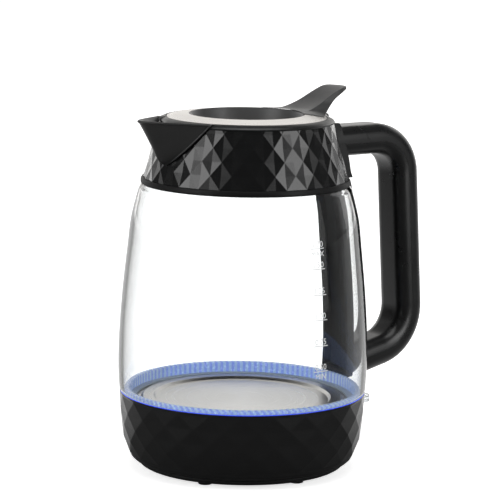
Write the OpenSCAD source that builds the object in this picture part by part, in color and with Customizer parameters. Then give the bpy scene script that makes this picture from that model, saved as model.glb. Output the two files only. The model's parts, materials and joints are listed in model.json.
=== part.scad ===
// Cordless electric kettle: glass jug with a diamond-faceted base shell and
// collar, pour-through lid with a thumb lever, D handle, and a power base.
// Millimetres. The jug's axis is Z, the feet stand on z = 0, the handle is
// towards +X and the spout towards -X.

/* [Power base] */
// Outer radius of the power base
power_r = 63; // [61.5:0.1:63.5]
// Height of the rubber feet
foot_h = 2; // [1.5:0.1:2]
// Number of rubber feet
foot_count = 6; // [3:1:8]
// Radius of the circle that the feet stand on
foot_circle_r = 55; // [50:0.5:55.5]

/* [Jug base] */
// Height at which the glass stands on the base shell
base_top_z = 47; // [46.5:0.1:47]
// Number of diamonds around the base shell
base_diamonds = 24; // [18:1:32]
// Height from one row of diamond corners to the next
base_row_h = 8.775; // [8.5:0.005:8.78]

/* [Glass] */
// Wall thickness of the glass
glass_wall = 2.6; // [2:0.1:3]

/* [Collar] */
// Number of diamonds around the collar
collar_diamonds = 29; // [22:1:36]
// How deep each diamond's centre is sunk
collar_dip = 0.7; // [0.4:0.1:0.9]

/* [Handle] */
// Width of the handle across the grip
grip_w = 26.5; // [24:0.1:27]
// Thickness of the handle in its own plane
grip_t = 18.8; // [17:0.1:20]
// Radius of the upper bend's centre line
bend_top_r = 24; // [20:0.5:27]
// Radius of the lower bend's centre line
bend_low_r = 27; // [22:0.5:30]

/* [Lid] */
// Radius of the pour-through opening
mouth_r = 33.2; // [32:0.1:33.6]
// Outer radius of the steel lid ring
lid_r = 48.4; // [48:0.1:48.4]

/* [Hidden] */
$fn = 96;

black = [0.07, 0.07, 0.08];
dark = [0.16, 0.16, 0.17];
steel = [0.80, 0.79, 0.76];
brass = [0.80, 0.65, 0.35];
rubber = [0.10, 0.10, 0.10];
clear = [0.80, 0.90, 0.98, 0.35];
blue = [0.35, 0.60, 0.95, 0.8];
white = [0.95, 0.95, 0.95];

// ---- shared curves ----

// Catmull-Rom curve through points a, b, c, d between b and c
function spline_point(a, b, c, d, t) =
    0.5 * (2 * b + (c - a) * t + (2 * a - 5 * b + 4 * c - d) * t * t
        + (3 * b - a - 3 * c + d) * t * t * t);
function spline(p, steps) = concat(
    [for (i = [0 : len(p) - 2], s = [0 : steps - 1])
        spline_point(p[max(i - 1, 0)], p[i], p[i + 1], p[min(i + 2, len(p) - 1)], s / steps)],
    [p[len(p) - 1]]);
function reversed(v) = [for (i = [len(v) - 1 : -1 : 0]) v[i]];
function mix(a, b, t) = a + (b - a) * t;
function flipped(faces) = [for (f = faces) [f[0], f[2], f[1]]];
// Swaps [height, radius] rows to [radius, height] points, moved by dr
function ring_points(rows, dr = 0) = [for (p = rows) [p[1] + dr, p[0]]];

// [height, radius] of the glass's outer face, from its foot to its neck
glass_foot_z = base_top_z + 0.6;
glass_side = spline([[glass_foot_z, 75.3], [64, 76.1], [86, 75.6], [110, 73.9],
    [135, 71.3], [152, 69.4], [164, 66.7], [172, 64.5]], 5);
glass_neck = [[174.2, 63.0], [176, 60.9], [178, 59.0], [182.5, 57.7]];
glass_outer = concat(glass_side, glass_neck);
function glass_r(z) = lookup(z, glass_outer);

// ---- diamond facets ----

// [height, radius] of the corners that the diamonds share
base_first_z = 10.3;
base_rows = [for (i = [0 : 4]) base_first_z + i * base_row_h];
base_outline = [[10.3, 69.8], [19.1, 72.7], [27.9, 73.9], [36.6, 74.7], [45.4, 75.15], [47, 75.15]];
base_phase = -7.4;
base_dip = 0.7;
collar_z = 178;
collar_row_h = 8;
collar_rows = [for (i = [0 : 5]) collar_z + i * collar_row_h];
collar_top_z = 212;
collar_outline = [[178, 62.1], [218, 51.1]];
collar_phase = -116.7;

function facet_ring(z, r, n, phase, row, peak) =
    [for (k = [0 : 2 * n - 1])
        let (a = phase + k * 180 / n, q = r + ((k + row) % 2 == 0 ? 0 : peak))
        [q * cos(a), q * sin(a), z]];

// Solid whose side is rows of diamonds; each diamond's corners are joined
// and its centre stands out by peak, or is sunk where peak is negative. The
// last row is a plain round edge when flat_top is true.
module faceted_solid(rows, outline, n, phase, peak, flat_top = false) {
    m = 2 * n;
    last = len(rows) - 1;
    points = concat(
        [for (i = [0 : last])
            each facet_ring(rows[i], lookup(rows[i], outline), n, phase, i,
                (flat_top && i == last) ? 0 : peak)],
        [[0, 0, rows[0]], [0, 0, rows[last]]]);
    function at(i, k) = i * m + k % m;
    side = [for (i = [0 : last - 1], k = [0 : m - 1], half = [0, 1])
        (k + i) % 2 == 0
            ? (half == 0 ? [at(i, k), at(i + 1, k + 1), at(i, k + 1)]
                         : [at(i, k), at(i + 1, k), at(i + 1, k + 1)])
            : (half == 0 ? [at(i, k), at(i + 1, k), at(i, k + 1)]
                         : [at(i + 1, k), at(i + 1, k + 1), at(i, k + 1)])];
    low = (last + 1) * m;
    caps = [for (k = [0 : m - 1], end = [0, 1])
        end == 0 ? [low, at(0, k), at(0, k + 1)]
                 : [low + 1, at(last, k + 1), at(last, k)]];
    polyhedron(points, concat(side, caps), convexity = 6);
}

module turned(points, angle = 360, start = 0) {
    rotate([0, 0, start]) rotate_extrude(angle = angle) polygon(points);
}

// Copies of the children around Z
module around(count, start = 0) {
    for (i = [0 : count - 1]) rotate([0, 0, start + i * 360 / count]) children();
}

// ---- power base ----

shelf_z = 4.6;
plate_r = 58.2;
screw_circle_r = 46;

cord_angle = -30;

// Box for the cord's way out, between two feet on the far side
module cord_slot(w, y0, y1, z0, z1) {
    rotate([0, 0, cord_angle]) translate([-w / 2, y0, z0]) cube([w, y1 - y0, z1 - z0]);
}

module power_base_top() {
    color(black) difference() {
        union() {
            turned([[58.4, 2], [power_r - 1.4, 2], [power_r - 0.4, 2.6], [power_r, 3.5],
                [power_r, shelf_z], [58.6, shelf_z], [58.6, 10.2], [57.8, 11], [15.2, 11],
                [15.2, 9], [56.6, 9], [56.6, 4.1], [58.4, 4.1]]);
            around(3, 30) translate([screw_circle_r, 0, 4.1]) cylinder(r = 3.5, h = 5.5);
        }
        around(3, 30) translate([screw_circle_r, 0, 4]) cylinder(r = 1.25, h = 5);
        cord_slot(6, 50, 64, 1.9, 6.8);
    }
}

module power_base_bottom() {
    color(black) difference() {
        translate([0, 0, 2.2]) cylinder(r = plate_r, h = 1.8);
        around(foot_count, 30) translate([foot_circle_r, 0, 2]) cylinder(r = 2.05, h = 3);
        around(3, 30) translate([screw_circle_r, 0, 2]) cylinder(r = 1.4, h = 3);
        around(3, 30) translate([screw_circle_r, 0, 2]) cylinder(r = 3, h = 1.1);
        cord_slot(9.4, 39.8, 60, 2, 4.2);
    }
}

module rubber_feet() {
    color(rubber) around(foot_count, 30) translate([foot_circle_r, 0, 0]) {
        translate([0, 0, 2 - foot_h]) cylinder(r = 4.2, h = foot_h);
        cylinder(r = 2, h = 4);
    }
}

module base_connector() {
    color(dark) turned([[0, 4], [15, 4], [15, 6.9], [20, 6.9], [20, 8.8], [15, 8.8],
        [15, 20.6], [14, 21.6], [8.4, 21.6], [8.4, 10], [6.1, 10], [6.1, 21.6],
        [3.2, 21.6], [3.2, 8], [0, 8]]);
}

module base_contacts() {
    color(brass) {
        translate([0, 0, 8]) cylinder(r = 2.9, h = 2.5);
        turned([[6.3, 10], [8.2, 10], [8.2, 12], [6.3, 12]]);
    }
}

module base_screws() {
    color(steel) around(3, 30) translate([screw_circle_r, 0, 0]) {
        translate([0, 0, 2.3]) cylinder(r = 2.8, h = 0.8);
        translate([0, 0, 3]) cylinder(r = 1.2, h = 5.5);
    }
}

module cord_gland() {
    color(rubber) difference() {
        cord_slot(9, 40, 50, 2.2, 8.8);
        rotate([0, 0, cord_angle]) translate([0, 39, 4.4]) rotate([-90, 0, 0])
            cylinder(r = 2.1, h = 12);
    }
}

// ---- jug base ----

cover_z = 12.6;
cover_screw_r = 57;
boss_z = 14.9;
boss_h = 5.7;
switch_x = 65;
switch_z = 30.5;
// Where the turned faces' seams lie, clear of the switch's slot
hidden_seam = 100;

module base_shell() {
    color(black) difference() {
        union() {
            faceted_solid(concat(base_rows, [base_top_z]), base_outline, base_diamonds,
                base_phase, -base_dip, true);
            turned([[0, 4.9], [64, 4.9], [66.4, 5.8], [68, 7.3], [68.7, 9], [68.9, 11], [0, 11]],
                360, hidden_seam);
        }
        turned([[0, 4], [61.4, 4], [61.4, 14.6], [66.5, 16], [69.3, 20.5], [71, 32],
            [71.9, 40], [71.9, 48], [0, 48]], 360, hidden_seam);
        translate([62, -8.2, 26.2]) cube([16, 16.4, 7]);
    }
    color(black) around(3, 90) difference() {
        union() {
            translate([cover_screw_r, 0, boss_z]) cylinder(r = 3.2, h = boss_h);
            translate([cover_screw_r, -1.2, boss_z]) cube([68.2 - cover_screw_r, 2.4, boss_h]);
        }
        translate([cover_screw_r, 0, boss_z - 1]) cylinder(r = 1.35, h = 5.6);
    }
}

module base_bottom_cover() {
    color(dark) difference() {
        turned([[19.9, cover_z], [61.2, cover_z], [61.2, cover_z + 1.9], [19.9, cover_z + 1.9]]);
        around(3, 90) translate([cover_screw_r, 0, 12]) cylinder(r = 1.5, h = 3);
        around(3, 90) translate([cover_screw_r, 0, 12]) cylinder(r = 3.2, h = 1.6);
    }
}

module cover_screws() {
    color(steel) around(3, 90) translate([cover_screw_r, 0, 0]) {
        translate([0, 0, 12.75]) cylinder(r = 3, h = 0.8);
        translate([0, 0, 13.5]) cylinder(r = 1.3, h = 5.5);
    }
}

module kettle_connector() {
    color(dark) turned([[15.5, 12.6], [19.6, 12.6], [19.6, 14.7], [24, 14.7], [24, 16.2],
        [19.6, 16.2], [19.6, 24.4], [0, 24.4], [0, 22.8], [15.5, 22.8]]);
}

module jug_contacts() {
    color(brass) {
        translate([0, 0, 13]) cylinder(r = 2, h = 9.8);
        turned([[6.9, 14], [7.6, 14], [7.6, 22.8], [6.9, 22.8]]);
    }
}

module thermostat_control() {
    color(dark) {
        translate([0, 0, 24.5]) cylinder(r = 20.5, h = 5);
        translate([-17, -15, 29]) cube([34, 30, 5]);
    }
}

module bimetal_disc() {
    color(steel) turned([[0, 35.4], [9, 34.6], [9, 35.1], [0, 36]]);
}

module heater_plate() {
    color(steel) turned([[0, 41.1], [53.2, 41.1], [54.7, 42.7], [60.3, 42.7], [61.8, 41.3],
        [67.5, 41.3], [67.5, 42.2], [62.1, 42.2], [60.7, 43.6], [54.4, 43.6], [52.8, 42],
        [0, 42]]);
}

module heater_diffuser() {
    color(steel) translate([0, 0, 37.8]) cylinder(r = 50, h = 3.2);
}

module heating_element() {
    color(dark) rotate([0, 0, 30]) rotate_extrude(angle = 300)
        translate([38, 34.5]) circle(r = 3.2);
    color(dark) for (a = [37, 323]) rotate([0, 0, a])
        translate([38, 0, 24.5]) cylinder(r = 2, h = 9);
}

module plate_seal() {
    color(white) turned([[64.5, 39.6], [69, 39.6], [69, 43.4], [64.5, 43.4], [64.5, 42.3],
        [67.6, 42.3], [67.6, 41.2], [64.5, 41.2]]);
}

module light_ring() {
    color(blue) turned([[69.2, 40], [71.2, 40], [71.2, base_top_z + 0.05],
        [74.9, base_top_z + 0.05], [74.9, base_top_z + 0.5], [72.4, base_top_z + 0.5],
        [72.4, 49.4], [71.8, 50], [69.8, 50], [69.2, 49.4]]);
}

module led_board() {
    color("darkgreen") turned([[66.5, 37.4], [71, 37.4], [71, 38.6], [66.5, 38.6]]);
}

module leds() {
    color(blue) around(12, 15) translate([69, -1, 38.6]) cube([1.8, 2, 1.2]);
}

// ---- glass ----

scale_marks = [71.5, 86.6, 101.9, 116.7, 131.9, 144];

module glass_body() {
    inner = ring_points(glass_outer, -glass_wall);
    color(clear) turned(concat(ring_points(glass_outer), reversed(inner)));
}

module volume_scale() {
    color(white) for (z = scale_marks)
        turned([[glass_r(z) + 0.06, z - 0.25], [glass_r(z) + 0.16, z - 0.25],
            [glass_r(z) + 0.16, z + 0.25], [glass_r(z) + 0.06, z + 0.25]], 8, -94);
}

// ---- switch ----

module switch_bracket() {
    color(dark) difference() {
        union() {
            for (side = [-1, 1]) translate([61, side * 10.5 - 1, 24]) cube([7, 2, 10]);
            translate([59, -11.5, 24]) cube([2.1, 23, 10]);
        }
        translate([switch_x, -15, switch_z]) rotate([-90, 0, 0]) cylinder(r = 1.55, h = 30);
    }
}

module switch_pin() {
    color(steel) translate([switch_x, -11.4, switch_z]) rotate([-90, 0, 0])
        cylinder(r = 1.5, h = 22.8);
}

module switch_lever() {
    tip_x = 92.5;
    color(clear) difference() {
        union() {
            translate([switch_x, -9, switch_z]) rotate([-90, 0, 0]) cylinder(r = 3, h = 18);
            translate([switch_x, -7.5, 28.6]) cube([tip_x - switch_x, 15, 3.8]);
            translate([tip_x, 0, 28.6]) cylinder(r = 7.5, h = 3.8);
        }
        translate([switch_x, -15, switch_z]) rotate([-90, 0, 0]) cylinder(r = 1.56, h = 30);
        translate([tip_x, 0, 31.4]) cylinder(r = 5.6, h = 2);
    }
}

// ---- collar, rim and spout ----

// Inner face of the collar: a cone that leaves the wall under the facets
function collar_in(z) = 59.8 - 0.275 * (z - collar_z);

// Side of the jug that faces the handle, seen from the side
bracket_face = [[73.5, 174.4], [72, 178], [70.3, 186], [67.3, 196], [63.5, 206.5], [61.8, 208.8]];
bracket_half_w = 13;

module upright_plate(points, half_w) {
    translate([0, half_w, 0]) rotate([90, 0, 0]) linear_extrude(2 * half_w) polygon(points);
}

module bracket_block(grow = 0) {
    upright_plate(concat([for (p = bracket_face) p + [grow, grow / 2]],
        [[50, 208.8 + grow / 2], [50, 178.05 - grow], [64.5, 178.05 - grow], [64.5, 174.4]]),
        bracket_half_w + grow);
}

// The spout is a V: its edges run on the collar from a low apex up to the
// rim, and its nose runs straight from the apex out to the lip.
spout_low_z = 189.2;
spout_apex_x = 60.3;
spout_tip_x = 79;
spout_tip_z = 216.6;
spout_root_z = 215.2;
spout_half_angle = 30;
spout_steps = 12;
spout_across = 8;
// How much the nose is rounded out above the apex
spout_bulge = 3.5;

// t rises from the apex to the rim, s runs from one edge (-1) to the other
function spout_point(t, s, inset) =
    let (half = spout_half_angle * pow(t, 0.8) - inset * 1.3,
        edge_r = mix(59.2, 53.6, t) - inset * 0.2,
        below = 1 - min(t / 0.15, 1),
        round_nose = spout_bulge * (1 - t) * (1 - t) * (1 - below * below),
        nose = mix(spout_apex_x, spout_tip_x, t) + round_nose - inset * 1.4,
        soft = 0.3,
        bow = (sqrt(s * s + soft * soft) - soft) / (sqrt(1 + soft * soft) - soft),
        x = mix(nose, edge_r * cos(half), bow),
        y = edge_r * sin(half) * s,
        top = mix(spout_tip_z, spout_root_z, bow))
    [-x, y, mix(spout_low_z, top, t)];

function spout_back(t, side, inset) =
    let (half = spout_half_angle * pow(t, 0.8) - inset * 1.3, r = 46)
    [-r * cos(half), r * sin(half) * side, mix(spout_low_z, spout_root_z, t)];

// Solid wedge between the collar's inside and the spout's outer face
module spout_wedge(inset, t_low, t_high) {
    m = 2 * spout_across + 3;
    rows = [for (i = [0 : spout_steps]) let (t = mix(t_low, t_high, pow(i / spout_steps, 1.5)))
        concat([for (j = [-spout_across : spout_across]) spout_point(t, j / spout_across, inset)],
            [spout_back(t, 1, inset), spout_back(t, -1, inset)])];
    function at(i, k) = i * m + k % m;
    side = [for (i = [0 : spout_steps - 1], k = [0 : m - 1], half = [0, 1])
        half == 0 ? [at(i, k), at(i, k + 1), at(i + 1, k + 1)]
                  : [at(i, k), at(i + 1, k + 1), at(i + 1, k)]];
    function cap(i) = concat(
        [for (k = [0 : spout_across - 1]) let (q = 2 * spout_across - k)
            [at(i, k), at(i, k + 1), at(i, q)]],
        [for (k = [0 : spout_across - 2]) let (q = 2 * spout_across - k)
            [at(i, k + 1), at(i, q - 1), at(i, q)]],
        [[at(i, 0), at(i, 2 * spout_across), at(i, 2 * spout_across + 1)],
         [at(i, 0), at(i, 2 * spout_across + 1), at(i, 2 * spout_across + 2)]]);
    polyhedron([for (r = rows) each r],
        concat(side, flipped(cap(0)), cap(spout_steps)), convexity = 6);
}

// Everything inside the collar and the rim cap
module collar_core(gap) {
    under_rim = collar_top_z - gap;
    turned([[0, 170], [collar_in(170) + gap, 170], [collar_in(collar_top_z) + gap, under_rim],
        [53.3 + gap, under_rim], [53.3 + gap, 213], [52.6 + gap, 213.9],
        [50.9 + gap, 214.7], [48.9, 215.3], [48.9, 230], [0, 230]]);
}

module collar() {
    color(black) difference() {
        faceted_solid(collar_rows, collar_outline, collar_diamonds, collar_phase, -collar_dip);
        turned([[0, 177], [collar_in(177), 177], [collar_in(219), 219], [0, 219]]);
        translate([0, 0, collar_top_z]) cylinder(r = 70, h = 20);
        spout_wedge(-0.1, 0.015, 1);
        bracket_block(0.1);
        // Room for the lid's hinge
        translate([45, -13.6, 209.3]) cube([12, 27.2, 9]);
    }
}

module collar_lip() {
    color(black) turned([[60.2, 176.95], [glass_r(176) + 0.15, 176.05], [glass_r(174.5) + 0.15, 174.5],
        [63.2, 174.5], [63.6, 175.1], [63.6, 177], [63, 177.95], [60.2, 177.95]]);
}

module collar_seal() {
    color(rubber) turned([[glass_r(178.4) + 0.06, 178.4], [collar_in(178.4) - 0.06, 178.4],
        [collar_in(184) - 0.06, 184], [55.4, 184], [55.4, 182.7], [57.75, 182.7]]);
}

rim_hole_r = 48.8;
hinge_x = 51;
hinge_z = 213.6;
knuckle_half = 9.5;
lug_r = 2;

module rim_cap() {
    color(black) difference() {
        union() {
            turned([[45.5, 206.2], [50.2, 206.2], [50.2, 212.1], [53, 212.1], [53.3, 212.9],
                [52.6, 213.8], [50.8, 214.6], [rim_hole_r, 215.1], [rim_hole_r, 208.2],
                [45.5, 208.2]]);
            for (side = [-1, 1]) translate([hinge_x, side * 11.6 - 1.8, 0]) {
                translate([0, 0, hinge_z]) rotate([-90, 0, 0]) cylinder(r = lug_r, h = 3.6);
                translate([-lug_r, 0, 210.3]) cube([2 * lug_r, 3.6, hinge_z - 210.3]);
            }
        }
        translate([45, -9.8, 209.3]) cube([12, 19.6, 9]);
        translate([hinge_x, -20, hinge_z]) rotate([-90, 0, 0]) cylinder(r = 1.25, h = 40);
    }
}

module lid_hinge_pin() {
    color(steel) translate([hinge_x, -13.3, hinge_z]) rotate([-90, 0, 0])
        cylinder(r = 1.2, h = 26.6);
}

module spout() {
    color(black) difference() {
        spout_wedge(0, 0.015, 1);
        spout_wedge(1.7, 0.2, 1.1);
        collar_core(0.1);
    }
}

filter_x = -48.5;

module filter_frame() {
    color(dark) translate([filter_x, 0, 0]) rotate([90, 0, 90]) linear_extrude(2)
        difference() {
            translate([-19, 184.5]) square([38, 21.4]);
            translate([-16.8, 186.7]) square([33.6, 17]);
        }
}

module filter_mesh() {
    color(steel) translate([filter_x + 0.8, 0, 0]) rotate([90, 0, 90]) linear_extrude(0.4)
        difference() {
            translate([-16.7, 186.8]) square([33.4, 16.8]);
            for (i = [0 : 10], j = [0 : 4])
                translate([-15.9 + i * 2.95, 187.8 + j * 3.05]) square([2.3, 2.3]);
        }
}

// ---- handle ----

arm_z = 196.5;
grip_lean = 4;
foot_slope = 12;
corner_low_z = 66;
// Where each half's edge lies, out from its own side of the centre line
outer_from = -1.2;
inner_from = 1.3;
// Where the straight stretches would meet, [x, z]
corner_top = [119.15, arm_z];
corner_low = corner_top + [(arm_z - corner_low_z) * tan(grip_lean), corner_low_z - arm_z];
turn_top = 90 - grip_lean;
turn_low = 90 + grip_lean - foot_slope;
tangent_top = bend_top_r * tan(turn_top / 2);
tangent_low = bend_low_r * tan(turn_low / 2);
function in_plane(a) = [cos(a), sin(a)];
function arc(centre, r, from, to, steps) =
    [for (i = [0 : steps]) centre + r * in_plane(mix(from, to, i / steps))];

// The centre line as [x, z, direction that points out of the loop]
bend_steps = 14;
foot_out = foot_slope - 90;
arm_start = 56;
top_centre = [corner_top[0] - tangent_top, arm_z - bend_top_r];
low_centre = corner_low + in_plane(grip_lean + 90) * tangent_low - in_plane(grip_lean) * bend_low_r;
foot_end = corner_low + in_plane(foot_slope - 180) * (tangent_low + 34);
function bend(centre, r, from, to) =
    [for (i = [0 : bend_steps]) let (a = mix(from, to, i / bend_steps))
        [centre[0] + r * cos(a), centre[1] + r * sin(a), a]];
centre_line = concat([[arm_start, arm_z, 90]],
    bend(top_centre, bend_top_r, 90, grip_lean),
    bend(low_centre, bend_low_r, grip_lean, foot_out),
    [[foot_end[0], foot_end[1], foot_out]]);

// Half of the grip's section, as [out of the loop, across]. It runs along
// the outside from one edge to the other, then back along the inside.
corner_steps = 8;
function half_outline(w, h, r, from) = concat([[from, -h / 2]],
    arc([w / 2 - r, r - h / 2], r, -90, 0, corner_steps),
    arc([w / 2 - r, h / 2 - r], r, 0, 90, corner_steps), [[from, h / 2]]);
function half_section(from) = concat(half_outline(grip_t, grip_w, 8, from),
    reversed(half_outline(grip_t - 5, grip_w - 5, 5.5, from)));

// A half shell of the handle; side is 1 for the outer half, -1 for the inner
module handle_half(side, from, line = centre_line) {
    section = half_section(from);
    m = len(section);
    n = len(line) - 1;
    rings = [for (c = line, q = section)
        [c[0] + side * q[0] * cos(c[2]), side * q[1], c[1] + side * q[0] * sin(c[2])]];
    function at(i, k) = i * m + k % m;
    skin = [for (i = [0 : n - 1], k = [0 : m - 1], half = [0, 1])
        half == 0 ? [at(i, k), at(i + 1, k + 1), at(i, k + 1)]
                  : [at(i, k), at(i + 1, k), at(i + 1, k + 1)]];
    function end_cap(i) = [for (k = [0 : m / 2 - 2], half = [0, 1])
        half == 0 ? [at(i, k), at(i, k + 1), at(i, m - 1 - k)]
                  : [at(i, k + 1), at(i, m - 2 - k), at(i, m - 1 - k)]];
    polyhedron(rings, concat(flipped(skin), end_cap(n), flipped(end_cap(0))), convexity = 8);
}

module behind_bracket() {
    upright_plate(concat([for (p = bracket_face) p + [0.05, 0]],
        [[61.85, 240], [0, 240], [0, 174.4]]), 30);
}

// The stretch of the arm's cover that belongs to the bracket
module seam_zone(grow) {
    upright_plate([[50, 215], [80 + grow, 215], [80 + grow, 205.5], [83 + grow, 201.5],
        [88.5 + grow, 194], [50, 194]], 30);
}

// Everything that the handle's foot stops against
module behind_spine() {
    upright_plate(concat([[0, 40], [spine_line[0][0] + 0.05, 40]],
        [for (p = spine_line) if (p[1] < 110) p + [0.05, 0]], [[0, 109]]), 30);
}

module handle_bracket() {
    color(black) difference() {
        union() {
            bracket_block();
            intersection() {
                handle_half(1, outer_from, [[arm_start, arm_z, 90], [92, arm_z, 90]]);
                seam_zone(0);
            }
        }
        collar_core(0.2);
    }
}

module handle_outer_shell() {
    color(black) difference() {
        handle_half(1, outer_from);
        seam_zone(0.15);
        behind_spine();
    }
}

module handle_inner_shell() {
    color(black) difference() {
        handle_half(-1, inner_from);
        behind_bracket();
        behind_spine();
    }
}

// The spine's outer line, as [x, z]
spine_out = 7.4;
spine_line = concat([for (p = glass_side) [p[1] + spine_out, p[0]]], [[glass_r(174) + spine_out, 174]]);

module glass_backed_strip(r0, r1, z0, z1, half_angle) {
    stretch = [for (p = glass_side) if (p[0] > z0 && p[0] < z1) p];
    line = concat([[z0, glass_r(z0)]], stretch, [[z1, glass_r(z1)]]);
    turned(concat(ring_points(line, r1), reversed(ring_points(line, r0))),
        2 * half_angle, -half_angle);
}

module spine() {
    color(dark) difference() {
        upright_plate(concat(spine_line, [[55, 174], [55, glass_foot_z]]), bracket_half_w);
        upright_plate(concat([for (p = spine_line) if (p[1] > 50 && p[1] < 172) p - [2, 0]],
            [[55, 171], [55, 52]]), bracket_half_w - 2);
        turned(concat([[0, 46], [75.9, 46]], ring_points(glass_outer, 0.6), [[0, 182.5]]),
            360, hidden_seam);
    }
}

module steam_duct() {
    color(dark) difference() {
        glass_backed_strip(1.2, 4.8, 53.5, 168.5, 3.2);
        glass_backed_strip(1.9, 4.1, 52.5, 169.5, 2.5);
    }
}

// ---- lid ----

throat_r = 23.6;
flap_hinge_x = 26;
flap_hinge_z = 200;

module lid_body() {
    color(black) difference() {
        union() {
            turned([[48.1, 210], [48.1, 214.1], [34.9, 215.9], [34.9, 216.6], [34.4, 217],
                [mouth_r + 0.5, 216.8], [mouth_r, 215.5], [31, 208.5], [24.6, 205.6],
                [throat_r, 204.6], [throat_r, 202.4], [25.6, 202.4], [26.2, 204.2],
                [32.4, 207], [33.6, 210], [35.4, 213.6], [46.2, 212.3], [46.2, 210]]);
            translate([hinge_x, -knuckle_half, hinge_z]) rotate([-90, 0, 0])
                cylinder(r = 2.3, h = 2 * knuckle_half);
            translate([46.4, -knuckle_half, 211.4]) cube([4, 2 * knuckle_half, 1.6]);
            for (side = [-1, 1])
                translate([24.2, side * 6.4 - 1, flap_hinge_z - 1.8]) cube([3.6, 2, 6.4]);
        }
        translate([hinge_x, -20, hinge_z]) rotate([-90, 0, 0]) cylinder(r = 1.26, h = 40);
        translate([flap_hinge_x, -20, flap_hinge_z]) rotate([-90, 0, 0]) cylinder(r = 1.05, h = 40);
    }
}

module lid_ring() {
    color(steel) turned([[35, 216], [lid_r - 0.2, 214.2], [lid_r, 214.6], [lid_r - 0.1, 215],
        [lid_r - 0.5, 215.15], [35.3, 216.9], [35, 216.7]]);
}

module lid_gasket() {
    color(rubber) turned([[46, 208.7], [48.1, 208.7], [48.1, 209.95], [46, 209.95]]);
}

// Thumb lever: a plate that spans the ring at its root, narrows quickly and
// curls up to a round tip. Each line runs from the root to the tip.
lever_across = 7;
lever_top_middle = [[34, 0, 217.3], [37.5, 0, 217.5], [42, 0, 218.9], [50.5, 0, 222.4],
    [59.5, 0, 227], [68, 0, 230.3], [73.8, 0, 230.5]];
lever_top_edge = [[26, 21.9, 217.3], [34, 14.2, 217.4], [40, 12.8, 218.4], [49, 11.4, 221.9],
    [58, 10.4, 226.5], [66, 10, 229.9], [70.6, 8.2, 230.5]];
lever_back_middle = [[46.9, 0, 215.6], [49.4, 0, 216.4], [52.8, 0, 218], [57.5, 0, 221],
    [62, 0, 224.2], [68, 0, 227.4], [73.8, 0, 229]];
lever_back_edge = [[35.9, 30.1, 215.6], [40.2, 26, 215.8], [47.8, 18, 216.9], [55.3, 12.4, 220.1],
    [60, 11, 223.7], [66.1, 10, 226.9], [70.8, 8.2, 229]];

function lever_line(middle, edge, u) =
    [for (i = [0 : len(middle) - 1])
        [mix(middle[i][0], edge[i][0], u * u), edge[i][1] * u,
            mix(middle[i][2], edge[i][2], u * u)]];
function lever_loop(u) = concat(
    spline(lever_line(lever_top_middle, lever_top_edge, u), 2),
    reversed(spline(lever_line(lever_back_middle, lever_back_edge, u), 2)));

module lid_lever() {
    loops = [for (j = [-lever_across : lever_across]) lever_loop(j / lever_across)];
    m = len(loops[0]);
    n = len(loops) - 1;
    function at(i, k) = i * m + k % m;
    skin = [for (i = [0 : n - 1], k = [0 : m - 1], half = [0, 1])
        half == 0 ? [at(i, k), at(i + 1, k + 1), at(i, k + 1)]
                  : [at(i, k), at(i + 1, k), at(i + 1, k + 1)]];
    function end_cap(i) = [for (k = [0 : m / 2 - 2], half = [0, 1])
        half == 0 ? [at(i, k), at(i, m - 2 - k), at(i, k + 1)]
                  : [at(i, k), at(i, m - 1 - k), at(i, m - 2 - k)]];
    color(dark) polyhedron([for (l = loops) each l],
        concat(skin, flipped(end_cap(0)), end_cap(n)), convexity = 6);
}

module flap_pin() {
    color(steel) translate([flap_hinge_x, -7.3, flap_hinge_z]) rotate([-90, 0, 0])
        cylinder(r = 1, h = 14.6);
}

module flap_spring() {
    color(steel) for (i = [0 : 3]) translate([flap_hinge_x, 1.9 + i * 0.8, flap_hinge_z])
        rotate([-90, 0, 0]) rotate_extrude() translate([1.55, 0]) circle(r = 0.35);
}

module flap() {
    color(dark) difference() {
        union() {
            translate([0, 0, 203]) cylinder(r = 22.9, h = 1.4);
            translate([20, -4, flap_hinge_z + 0.4]) cube([2.8, 5, 2.8]);
            translate([20, -4, flap_hinge_z - 0.6]) cube([flap_hinge_x - 20, 5, 2.2]);
            translate([flap_hinge_x, -4, flap_hinge_z]) rotate([-90, 0, 0])
                cylinder(r = 1.9, h = 5);
        }
        translate([flap_hinge_x, -20, flap_hinge_z]) rotate([-90, 0, 0])
            cylinder(r = 1.06, h = 40);
    }
}

module flap_seal() {
    color(white) difference() {
        turned([[18, 202.2], [20.6, 202.2], [20.6, 203], [18, 203]]);
        translate([10, -6, 201]) cube([20, 12, 3]);
    }
}

power_base_top();
power_base_bottom();
rubber_feet();
base_connector();
base_contacts();
base_screws();
cord_gland();
base_shell();
base_bottom_cover();
cover_screws();
kettle_connector();
jug_contacts();
thermostat_control();
bimetal_disc();
heater_plate();
heater_diffuser();
heating_element();
plate_seal();
light_ring();
led_board();
leds();
glass_body();
volume_scale();
switch_bracket();
switch_pin();
collar();
collar_lip();
collar_seal();
rim_cap();
spout();
filter_frame();
filter_mesh();
handle_bracket();
handle_outer_shell();
handle_inner_shell();
spine();
steam_duct();
lid_hinge_pin();
lid_body();
lid_ring();
lid_lever();
lid_gasket();
flap_pin();
flap_spring();
flap();
flap_seal();
switch_lever();
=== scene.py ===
"""Looks of the electric kettle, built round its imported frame.

Metres, +Z up, the jug's axis is Z, the handle is towards +X and the spout towards -X.
"""

import json
import math

import bpy
from mathutils import Matrix, Vector


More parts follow.
